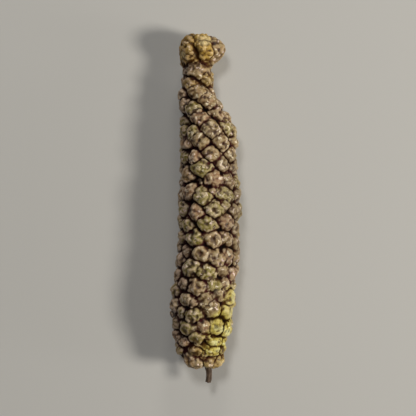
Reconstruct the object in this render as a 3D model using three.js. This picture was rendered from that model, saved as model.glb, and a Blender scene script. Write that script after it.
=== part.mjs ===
// A dried long pepper: one fruiting spike with its short cut stalk, lying on a surface.
// Millimetres. +Z up, the tip towards +Y, the stalk towards -Y. The origin is under the middle
// of the whole piece, on the surface that it rests on.
import * as THREE from 'three';

// ---- driving dimensions (mm, degrees) -------------------------------------------------------

// Outer width of the spike, over the crowns of its berries: [distance along Y, half width].
const HALF_WIDTH = [
  [16.13, 0], [16.06, 0.63], [15.89, 1.11], [15.63, 1.45], [15.21, 1.9], [14.73, 2.15],
  [14.25, 2.06], [13.77, 1.86], [13.3, 1.6], [12.56, 1.5], [11.35, 1.71], [10.14, 1.97], [9.42, 2.11], [8.45, 2.29],
  [7.0, 2.68], [6.04, 2.84], [4.59, 2.74], [3.14, 2.79], [1.93, 2.84], [0.48, 3.04], [-1.21, 3.09],
  [-3.38, 2.98], [-5.8, 3.04], [-7, 3.04], [-8.94, 3.15], [-9.9, 3.14], [-11.59, 2.96],
  [-12.32, 2.84], [-13.77, 2.48], [-14.49, 2.27], [-15.34, 1.7], [-15.84, 1.38], [-16.11, 0.89],
  [-16.23, 0],
];

// The rachis bends gently: [distance along Y, sideways X, height Z] of its middle line.
const MIDDLE_LINE = [
  [17.5, -1.05, -0.62], [16.18, -0.87, -0.58], [15.7, -0.74, -0.56], [15.21, -0.52, -0.54],
  [14.73, -0.42, -0.52], [14.25, -0.48, -0.5], [13.77, -0.58, -0.48], [13.28, -0.64, -0.46], [12.32, -0.66, -0.42],
  [11.35, -0.79, -0.38], [10.38, -0.77, -0.35], [9.42, -0.53, -0.32], [8.45, -0.19, -0.29],
  [7.25, 0.17, -0.25], [6.04, 0.33, -0.22], [4.59, 0.25, -0.18], [3.14, 0.27, -0.14],
  [1.69, 0.39, -0.1], [0.24, 0.42, -0.06], [-1.69, 0.37, -0.03], [-3.62, 0.31, -0.01],
  [-5.55, 0.16, 0], [-7.49, -0.06, 0], [-9.42, -0.23, 0], [-11.35, -0.34, 0.01],
  [-13.28, -0.45, 0.03], [-14.49, -0.4, 0.05], [-15.21, -0.27, 0.06], [-17.5, -0.15, 0.1],
];

const TIP_CENTRE_Y = 14.37;              // the blunt tip is rounded about this point
const BASE_CENTRE_Y = -13.52;            // and the stalk end about this one
const TIP_HEIGHT = 1.76;                 // from that centre to the very tip
const BASE_HEIGHT = 2.71;
const BASE_AXIS = [0.23, -0.97, 0.02];   // the stalk leaves a little to the right
const ROW_SLANT = -43;                   // the rows of berries run down to the right
const FLAT = { height: 0.56, wide: 1.06, deep: 1.0, square: 3.3, power: 3.0, lean: 0.2 };   // lozenges in rows
const KNOB = { height: 0.66, wide: 1.07, deep: 1.07, square: 2.4, power: 2.5, lean: 0.5 };   // separate knobs
const FILL_SIZE = 0.76;                  // half width of a berry on the side that lies down
const GROOVE_DEPTH = 0.9;                // of the rachis under the crowns
const GROOVE_SHARPNESS = 26;             // how crisply neighbouring berries meet
const RESTS_AT_Z = -2.81;                // the lowest berries are pressed flat here
const STALK_SEAT = 1.72;                 // floor of the stalk's seat, from the base centre
const STALK_GAP = 0.3;                   // left between the stalk and its seat
const STALK_LINE = [[0.31, -16.35, 0.06], [0.33, -16.75, 0.07], [0.3, -17.15, 0.04], [0.235, -17.46, -0.01]];
const STALK_RADII = [0.33, 0.31, 0.285, 0.27, 0.26];
const AROUND = 56;                       // facets round the spike
const TIP_ROWS = 9, BODY_ROWS = 70, BASE_ROWS = 10;

// The berries on top: [distance along Y, angle round the rachis, half length along the row, half
// width across it, turn of the row, lift of the crown]. The angle is 0 towards +X, 90 up and 270
// down; the turn is seen from outside, with +Y up. Below: [distance along Y, angle, lift].
const BERRIES_ABOVE = [
  [15.55, 63, 0.8, 0.58, -20, 0.16], [15.24, 134, 0.94, 0.8, 80, 0.2],
  [14.76, 19, 0.77, 0.72, -60, 0.3], [14.27, 71, 0.89, 0.8, -75, 0.1],
  [13.74, 143, 0.7, 0.6, 20, -0.05], [12.58, 109, 0.99, 0.87, -20, 0.06],
  [11.98, 43, 0.94, 0.72, -75, -0.02], [11.59, 166, 0.6, 0.63, -43, 0],
  [11.23, 128, 0.71, 0.7, -43, 0], [10.53, 87, 0.8, 0.72, -43, 0],
  [10.29, 166, 0.62, 0.63, -43, 0], [9.66, 56, 0.84, 0.72, -48, 0.03],
  [9.35, 156, 0.62, 0.65, -43, 0.02], [8.86, 121, 0.67, 0.68, -43, 0],
  [8.31, 46, 0.76, 0.7, -50, 0], [7.95, 105, 0.8, 0.77, -43, 0.03], [7, 38, 0.87, 0.72, -58, 0],
  [6.83, 82, 0.87, 0.77, -46, 0.02], [6.79, 166, 0.64, 0.68, -43, 0],
  [6.76, 14, 0.71, 0.68, -58, 0], [6.64, 131, 0.67, 0.7, -43, 0.02], [5.7, 14, 0.67, 0.68, -58, 0],
  [5.6, 109, 0.84, 0.8, -43, 0.03], [5.53, 58, 0.87, 0.77, -50, 0], [4.47, 82, 0.8, 0.75, -46, 0],
  [4.44, 14, 0.62, 0.68, -50, -0.03], [4.42, 28, 0.69, 0.72, -50, 0],
  [4.13, 157, 0.67, 0.7, -43, 0], [4.13, 124, 0.69, 0.72, -43, 0], [3.33, 57, 0.76, 0.72, -46, 0],
  [3.12, 103, 0.89, 0.87, -43, 0.06], [3.09, 15, 0.71, 0.72, -46, 0],
  [2.46, 148, 0.75, 0.75, -60, 0], [2.08, 78, 0.87, 0.82, -46, 0.02],
  [1.93, 41, 0.84, 0.8, -46, 0], [1.88, 115, 0.49, 0.43, -43, -0.38],
  [1.79, 14, 0.64, 0.68, -50, 0], [0.97, 139, 0.72, 0.75, -70, 0],
  [0.82, 83, 0.53, 0.52, -43, -0.12], [0.63, 166, 0.68, 0.63, -60, 0],
  [0.6, 57, 0.91, 0.75, -40, 0], [0.53, 14, 0.64, 0.68, -50, 0],
  [0.43, 104, 0.84, 0.82, -43, 0.02], [-0.46, 59, 0.6, 0.59, -43, -0.04],
  [-0.87, 81, 0.8, 0.84, -43, 0.02], [-0.94, 32, 0.69, 0.68, -50, 0.02],
  [-1.01, 117, 0.87, 0.84, -43, 0.06], [-2.08, 56, 0.84, 0.75, -45, 0],
  [-2.25, 95, 0.78, 0.75, -45, 0.05], [-2.27, 142, 0.75, 0.72, -60, -0.02],
  [-2.56, 21, 0.69, 0.68, -50, 0], [-3.45, 166, 0.62, 0.64, -50, 0],
  [-3.57, 51, 0.77, 0.65, -30, -0.03], [-3.62, 81, 0.89, 0.82, -43, 0],
  [-3.67, 119, 0.87, 0.79, -50, 0.04], [-3.98, 14, 0.67, 0.64, -50, 0],
  [-4.88, 145, 0.63, 0.58, -30, -0.22], [-5.14, 103, 0.92, 0.82, -30, 0.02],
  [-5.29, 42, 0.8, 0.8, -50, 0], [-5.41, 14, 0.68, 0.72, -50, 0],
  [-5.43, 73, 0.89, 0.82, -40, 0.02], [-5.77, 166, 0.7, 0.72, -60, 0.06],
  [-6.28, 124, 0.82, 0.85, 70, 0.04], [-6.59, 88, 0.94, 0.82, -25, 0.02],
  [-6.76, 58, 0.77, 0.7, -40, -0.04], [-6.81, 23, 0.72, 0.8, -70, 0],
  [-7.2, 166, 0.6, 0.6, 0, 0.08], [-7.78, 136, 0.7, 0.65, -40, -0.02],
  [-7.95, 74, 0.85, 0.77, -50, 0], [-7.97, 48, 0.72, 0.65, -60, -0.03],
  [-8.11, 14, 0.65, 0.68, -60, 0], [-8.21, 106, 1.04, 0.94, -15, 0.09],
  [-8.5, 164, 0.63, 0.63, -60, 0.16], [-9.03, 64, 0.72, 0.68, -30, -0.09],
  [-9.15, 84, 0.8, 0.7, -70, -0.04], [-9.23, 34, 0.89, 0.92, -60, 0.04],
  [-9.54, 127, 0.68, 0.63, -30, -0.02], [-9.64, 109, 0.51, 0.48, 0, -0.1],
  [-9.9, 161, 0.68, 0.68, -60, 0.19], [-9.97, 94, 0.53, 0.51, -30, -0.12],
  [-10.53, 66, 0.97, 0.89, -55, 0.03], [-10.67, 137, 0.7, 0.6, -10, 0],
  [-10.67, 26, 0.82, 0.82, -60, 0.02], [-10.87, 102, 0.94, 0.77, 15, 0.05],
  [-11.74, 166, 0.6, 0.6, -60, 0.1], [-11.95, 88, 0.77, 0.7, -40, -0.02],
  [-12.17, 121, 0.82, 0.72, -20, 0.06], [-12.2, 60, 0.87, 0.77, -20, 0.05],
  [-12.39, 25, 0.75, 0.82, -70, 0.03], [-13.02, 166, 0.68, 0.63, -60, 0.15],
  [-13.07, 81, 0.46, 0.43, 0, -0.14], [-13.14, 102, 0.72, 0.65, -30, 0.02],
  [-13.43, 134, 0.63, 0.6, -40, -0.03], [-13.45, 58, 0.75, 0.58, -10, 0.02],
  [-13.52, 16, 0.56, 0.56, -50, -0.1], [-14.3, 105, 0.87, 0.65, -10, 0.02],
  [-14.39, 48, 0.87, 0.72, -15, 0.03], [-14.44, 80, 0.56, 0.56, 0, -0.08],
  [-14.44, 166, 0.65, 0.63, -60, 0.16], [-14.49, 14, 0.53, 0.58, -60, -0.05],
  [-14.95, 158, 0.58, 0.56, -50, 0.07], [-15.31, 86, 0.56, 0.51, -40, 0.02],
  [-15.6, 123, 0.89, 0.65, -25, 0.44], [-15.67, 20, 0.8, 0.7, 10, 0.26],
  [-15.77, 71, 0.48, 0.48, 0, 0.22],
];
const BERRIES_BELOW = [
  [15.89, 239, 0], [14.74, 279, 0], [14.73, 196, -0.12], [14.19, 329, -0.12], [13.77, 239, 0],
  [13.27, 188, -0.12], [13.27, 14, -0.12], [13.06, 295, 0], [12.17, 236, 0], [11.53, 315, -0.24],
  [10.69, 250, 0], [10.48, 3, -0.24], [9.99, 301, -0.24], [9.51, 205, 0], [9.12, 337, 0],
  [9.06, 247, 0], [8.41, 282, 0], [8.02, 359, 0], [7.98, 191, 0], [7.62, 312, 0], [7.48, 234, 0],
  [6.83, 269, 0], [6.72, 338, 0], [6.39, 200, 0], [6.04, 302, 0], [5.89, 235, 0], [5.46, 152, 0],
  [5.24, 338, 0], [5.18, 269, 0], [4.81, 194, 0], [4.44, 304, 0], [4.28, 234, 0], [3.73, 340, 0],
  [3.56, 270, 0], [3.27, 183, 0], [2.85, 306, 0], [2.79, 217, 0], [2.22, 341, 0], [2.21, 248, 0],
  [1.74, 185, 0], [1.67, 280, 0], [1.21, 312, 0], [1.14, 219, 0], [0.67, 344, 0], [0.62, 253, 0],
  [0.11, 287, 0], [-0.01, 194, 0], [-0.38, 320, 0], [-0.43, 228, 0], [-0.76, 156, 0],
  [-0.86, 357, 0], [-0.95, 261, 0], [-1.45, 296, 0], [-1.49, 205, 0], [-1.87, 331, 0],
  [-2.06, 236, 0], [-2.06, 175, 0], [-2.48, 270, 0], [-3, 306, 0], [-3.11, 204, 0],
  [-3.29, 343, 0], [-3.65, 240, 0], [-3.95, 276, 0], [-4.54, 188, 0], [-4.57, 310, 0],
  [-4.87, 344, 0], [-5.01, 223, 0], [-5.43, 282, 0], [-6.05, 252, 0], [-6.05, 197, 0],
  [-6.21, 315, 0], [-6.46, 349, 0], [-6.92, 225, 0], [-6.95, 286, 0], [-7.64, 195, 0],
  [-7.68, 255, 0], [-7.97, 342, 0], [-8.45, 287, 0], [-8.53, 225, 0], [-9.02, 319, 0],
  [-9.16, 193, 0], [-9.25, 257, 0], [-9.69, 355, 0], [-9.94, 290, 0], [-10.14, 223, 0],
  [-10.54, 324, 0], [-10.69, 189, 0], [-10.78, 261, 0], [-11.36, 355, 0], [-11.43, 294, 0],
  [-11.71, 232, 0], [-12.15, 324, 0], [-12.16, 197, 0], [-12.35, 267, 0], [-13.31, 239, 0],
  [-13.34, 298, 0], [-13.44, 342, 0], [-13.61, 199, 0], [-14.49, 268, 0], [-14.74, 320, 0],
  [-14.93, 214, 0], [-16, 263, 0],
];

// ---- the smooth form ------------------------------------------------------------------------

function along(table, y, column) {
  if (y >= table[0][0]) return table[0][column];
  for (let i = 1; i < table.length; i++) {
    if (y >= table[i][0]) {
      const [a, b] = [table[i - 1], table[i]];
      return a[column] + (b[column] - a[column]) * ((a[0] - y) / (a[0] - b[0]));
    }
  }
  return table[table.length - 1][column];
}
const halfWidth = (y) => along(HALF_WIDTH, y, 1);
const middle = (y) => new THREE.Vector3(along(MIDDLE_LINE, y, 1), y, along(MIDDLE_LINE, y, 2));
const clamp = THREE.MathUtils.clamp;

// A repeatable small number from 0 to 1 for berry i.
function chance(i, k) {
  const v = Math.sin(i * 12.9898 + k * 78.233) * 43758.5453;
  return v - Math.floor(v);
}

// ---- the berries ----------------------------------------------------------------------------

const tipCentre = middle(TIP_CENTRE_Y);
const baseCentre = middle(BASE_CENTRE_Y);
const tipAxis = new THREE.Vector3(0, 1, 0);
const baseAxis = new THREE.Vector3(...BASE_AXIS).normalize();

const smooth = (lo, hi, x) => {
  const f = clamp((x - lo) / (hi - lo), 0, 1);
  return f * f * (3 - 2 * f);
};

// 0 where the berries are flat lozenges in slanting rows, 1 where they are separate knobs
const knobby = (y) => Math.max(1 - smooth(-8, -3, y), 0.8 * smooth(10.5, 12.5, y));

const berries = [...BERRIES_ABOVE, ...BERRIES_BELOW].map((row, i) => {
  const [y, degrees] = row;
  const knob = knobby(y);
  const blend = (key) => FLAT[key] * (1 - knob) + KNOB[key] * knob;
  let length, across, slant, lift;
  if (row.length > 3) {
    [length, across, slant, lift] = row.slice(2);
  } else {
    const size = FILL_SIZE + 0.1 * (chance(i, 8) - 0.5);
    const stretch = 1.08 - 0.04 * knob;
    [length, across, lift] = [size * stretch, size / stretch, row[2] + 0.08 * (chance(i, 9) - 0.5)];
    slant = ROW_SLANT + (chance(i, 4) - 0.5) * (16 + 150 * knob);
  }
  const angle = THREE.MathUtils.degToRad(degrees);
  const outward = new THREE.Vector3(Math.cos(angle), 0, Math.sin(angle));
  const crown = middle(y).addScaledVector(outward, halfWidth(y));
  let n;
  if (y > TIP_CENTRE_Y) n = crown.clone().sub(tipCentre);
  else if (y < BASE_CENTRE_Y) n = crown.clone().sub(baseCentre);
  else {
    const slope = (halfWidth(y + 0.8) - halfWidth(y - 0.8)) / 1.6;
    n = outward.clone().addScaledVector(new THREE.Vector3(0, 1, 0), -clamp(slope, -0.5, 0.5));
  }
  n.normalize();
  n.addScaledVector(new THREE.Vector3(0, 1, 0), (chance(i, 1) - 0.5) * blend('lean'));
  n.addScaledVector(new THREE.Vector3(-Math.sin(angle), 0, Math.cos(angle)), (chance(i, 2) - 0.5) * blend('lean'));
  n.normalize();
  const round = new THREE.Vector3(0, 1, 0).cross(n);
  if (round.length() < 0.2) round.set(1, 0, 0).addScaledVector(n, -n.x);
  round.normalize();
  const up = n.clone().cross(round);
  const turn = THREE.MathUtils.degToRad(slant + (chance(i, 3) - 0.5) * 8);
  const t = round.clone().multiplyScalar(Math.cos(turn)).addScaledVector(up, Math.sin(turn));
  const a = n.clone().cross(t);
  const height = blend('height') * (0.4 + 0.6 * Math.min(length, across) / 0.78) * (0.88 + 0.24 * chance(i, 5));
  const raised = lift + (chance(i, 6) - 0.5) * 0.1;
  return {
    n, t, a, height,
    foot: crown.clone().addScaledVector(n, raised - height),
    wide: length * blend('wide'), deep: across * blend('deep'),
    square: blend('square') + 0.5 * (chance(i, 7) - 0.5), power: blend('power'),
  };
});

// How far the ray from o along d goes before it leaves the berry, between near and far.
function leaves(berry, o, d, near, far) {
  const q = o.clone().sub(berry.foot);
  const [qn, qt, qa] = [q.dot(berry.n), q.dot(berry.t), q.dot(berry.a)];
  const [dn, dt, da] = [d.dot(berry.n), d.dot(berry.t), d.dot(berry.a)];
  if (dn < 0.25) return near;
  const above = (r) => {
    const m = berry.square;
    const rho = Math.abs((qt + r * dt) / berry.wide) ** m + Math.abs((qa + r * da) / berry.deep) ** m;
    return qn + r * dn - berry.height * (1 - rho ** (berry.power / m));
  };
  if (above(near) > 0) return near;
  let lo = near, hi = far;
  if (above(hi) < 0) return hi;
  for (let i = 0; i < 18; i++) {
    const mid = (lo + hi) / 2;
    if (above(mid) > 0) hi = mid; else lo = mid;
  }
  return (lo + hi) / 2;
}

// ---- the fruiting spike ---------------------------------------------------------------------

// A ring of rays: from a point on the middle line, leaning by tilt towards an end's axis.
function ring(origin, tilt, axis, reach) {
  const near = Math.max(reach - 1.3, 0.35), far = reach + 0.6, sharp = GROOVE_SHARPNESS;
  const close = berries.filter((b) => b.foot.distanceTo(origin) < reach + 2.2);
  const points = [];
  for (let j = 0; j < AROUND; j++) {
    const angle = (j / AROUND) * Math.PI * 2;
    const d = new THREE.Vector3(Math.cos(angle), 0, Math.sin(angle)).multiplyScalar(Math.cos(tilt));
    d.addScaledVector(axis, Math.sin(tilt)).normalize();
    let sum = Math.exp(sharp * (reach - GROOVE_DEPTH - near));
    for (const b of close) {
      const r = leaves(b, origin, d, near, far);
      if (r > near) sum += Math.exp(sharp * (r - near));
    }
    let r = near + Math.log(sum) / sharp;
    if (axis === baseAxis && tilt > THREE.MathUtils.degToRad(70)) r = STALK_SEAT;
    points.push(origin.clone().addScaledVector(d, r));
  }
  return points;
}

function capReach(width, height, tilt) {
  return 1 / Math.hypot(Math.cos(tilt) / width, Math.sin(tilt) / height);
}

function spikeGeometry() {
  const rings = [];
  const quarter = Math.PI / 2;
  for (let i = 1; i < TIP_ROWS; i++) {
    const tilt = quarter * (1 - i / TIP_ROWS);
    rings.push(ring(tipCentre, tilt, tipAxis, capReach(halfWidth(TIP_CENTRE_Y), TIP_HEIGHT, tilt)));
  }
  for (let i = 0; i <= BODY_ROWS; i++) {
    const y = TIP_CENTRE_Y + (BASE_CENTRE_Y - TIP_CENTRE_Y) * (i / BODY_ROWS);
    rings.push(ring(middle(y), 0, tipAxis, halfWidth(y)));
  }
  for (let i = 1; i < BASE_ROWS; i++) {
    const tilt = quarter * (i / BASE_ROWS);
    rings.push(ring(baseCentre, tilt, baseAxis, capReach(halfWidth(BASE_CENTRE_Y), BASE_HEIGHT, tilt)));
  }
  const tipEnd = tipCentre.clone().addScaledVector(tipAxis, TIP_HEIGHT - 0.12);
  const baseEnd = baseCentre.clone().addScaledVector(baseAxis, STALK_SEAT);
  for (const points of rings) for (const p of points) p.z = Math.max(p.z, RESTS_AT_Z);
  return closedLoft(rings, tipEnd, baseEnd);
}

// ---- shared: a closed skin over rings of points, with a point at each end ---------------------

function closedLoft(rings, first, last) {
  const n = rings[0].length;
  const position = [];
  for (const points of rings) for (const p of points) position.push(p.x, p.y, p.z);
  const index = [];
  const top = rings.length * n, bottom = top + 1;
  position.push(first.x, first.y, first.z, last.x, last.y, last.z);
  for (let i = 0; i + 1 < rings.length; i++) {
    for (let j = 0; j < n; j++) {
      const a = i * n + j, b = i * n + ((j + 1) % n), c = a + n, d = b + n;
      // the shorter diagonal follows the grooves
      const along1 = Math.hypot(position[3 * a] - position[3 * d], position[3 * a + 1] - position[3 * d + 1], position[3 * a + 2] - position[3 * d + 2]);
      const along2 = Math.hypot(position[3 * b] - position[3 * c], position[3 * b + 1] - position[3 * c + 1], position[3 * b + 2] - position[3 * c + 2]);
      if (along1 < along2) index.push(a, d, c, a, b, d);
      else index.push(a, b, c, b, d, c);
    }
  }
  for (let j = 0; j < n; j++) {
    const k = (j + 1) % n, base = (rings.length - 1) * n;
    index.push(top, k, j);
    index.push(bottom, base + j, base + k);
  }
  const geometry = new THREE.BufferGeometry();
  geometry.setAttribute('position', new THREE.Float32BufferAttribute(position, 3));
  geometry.setIndex(index);
  // turn the skin the right way out
  let volume = 0;
  const v = (i) => new THREE.Vector3(position[3 * i], position[3 * i + 1], position[3 * i + 2]);
  for (let i = 0; i < index.length; i += 3) {
    volume += v(index[i]).dot(v(index[i + 1]).cross(v(index[i + 2]))) / 6;
  }
  if (volume < 0) {
    for (let i = 0; i < index.length; i += 3) [index[i + 1], index[i + 2]] = [index[i + 2], index[i + 1]];
    geometry.setIndex(index);
  }
  geometry.computeVertexNormals();
  return geometry;
}

// ---- the stalk ------------------------------------------------------------------------------

function stalkGeometry() {
  const root = baseCentre.clone().addScaledVector(baseAxis, STALK_SEAT + STALK_GAP);
  const curve = new THREE.CatmullRomCurve3([root, ...STALK_LINE.map((p) => new THREE.Vector3(...p))]);
  const rows = 9, sides = 14;
  const rings = [];
  for (let i = 0; i <= rows; i++) {
    const f = i / rows;
    const p = curve.getPoint(f);
    const dir = curve.getTangent(f);
    const right = new THREE.Vector3(0, 0, 1).cross(dir).normalize();
    const up = dir.clone().cross(right);
    const s = f * (STALK_RADII.length - 1), k = Math.min(Math.floor(s), STALK_RADII.length - 2);
    const radius = STALK_RADII[k] + (STALK_RADII[k + 1] - STALK_RADII[k]) * (s - k);
    const points = [];
    for (let j = 0; j < sides; j++) {
      const angle = (j / sides) * Math.PI * 2;
      // ribbed by its dried fibres
      const r = radius * (1 + 0.06 * Math.cos(5 * angle + 0.7));
      points.push(p.clone().addScaledVector(right, r * Math.cos(angle)).addScaledVector(up, r * Math.sin(angle)));
    }
    rings.push(points);
  }
  return closedLoft(rings, curve.getPoint(0), curve.getPoint(1));
}

// ---- the model ------------------------------------------------------------------------------

const spike = new THREE.Mesh(
  spikeGeometry(),
  new THREE.MeshStandardMaterial({ color: 0x8c7850, roughness: 0.75, metalness: 0 }),
);
spike.name = 'fruiting_spike';

const stalk = new THREE.Mesh(
  stalkGeometry(),
  new THREE.MeshStandardMaterial({ color: 0x6e5f4c, roughness: 0.85, metalness: 0 }),
);
stalk.name = 'stalk';

const longPepper = new THREE.Group();
longPepper.add(spike, stalk);

// stand the lowest facets on Z = 0, under the middle of the whole piece
const box = new THREE.Box3();
for (const mesh of [spike, stalk]) {
  mesh.geometry.computeBoundingBox();
  box.union(mesh.geometry.boundingBox);
}
longPepper.position.set(-(box.min.x + box.max.x) / 2, -(box.min.y + box.max.y) / 2, -box.min.z);

export default longPepper;
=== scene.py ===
# A dried long pepper lying on a pale surface: one fruiting spike of small berries grown together
# on a thin rachis, and its short cut stalk. Metres, +Z up, tip towards +Y.
import math

import bmesh
import bpy
import numpy as np
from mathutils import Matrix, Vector


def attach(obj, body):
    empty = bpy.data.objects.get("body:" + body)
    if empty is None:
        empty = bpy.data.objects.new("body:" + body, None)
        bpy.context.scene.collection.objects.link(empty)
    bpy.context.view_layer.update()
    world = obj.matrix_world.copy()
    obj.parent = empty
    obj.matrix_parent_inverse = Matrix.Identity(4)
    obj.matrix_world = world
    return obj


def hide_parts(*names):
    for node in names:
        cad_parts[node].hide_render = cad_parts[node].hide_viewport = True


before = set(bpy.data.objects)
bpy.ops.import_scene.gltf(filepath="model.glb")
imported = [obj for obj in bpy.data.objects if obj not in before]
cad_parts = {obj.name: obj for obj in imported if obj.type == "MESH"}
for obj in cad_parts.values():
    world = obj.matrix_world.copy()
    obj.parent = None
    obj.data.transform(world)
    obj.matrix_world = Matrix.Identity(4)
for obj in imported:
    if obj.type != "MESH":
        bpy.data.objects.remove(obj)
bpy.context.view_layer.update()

MM = 0.001
# where the frame stands against the middle-line coordinates used below (mm)
SHIFT = np.array([-0.01341, 0.70447, 2.81])

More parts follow.
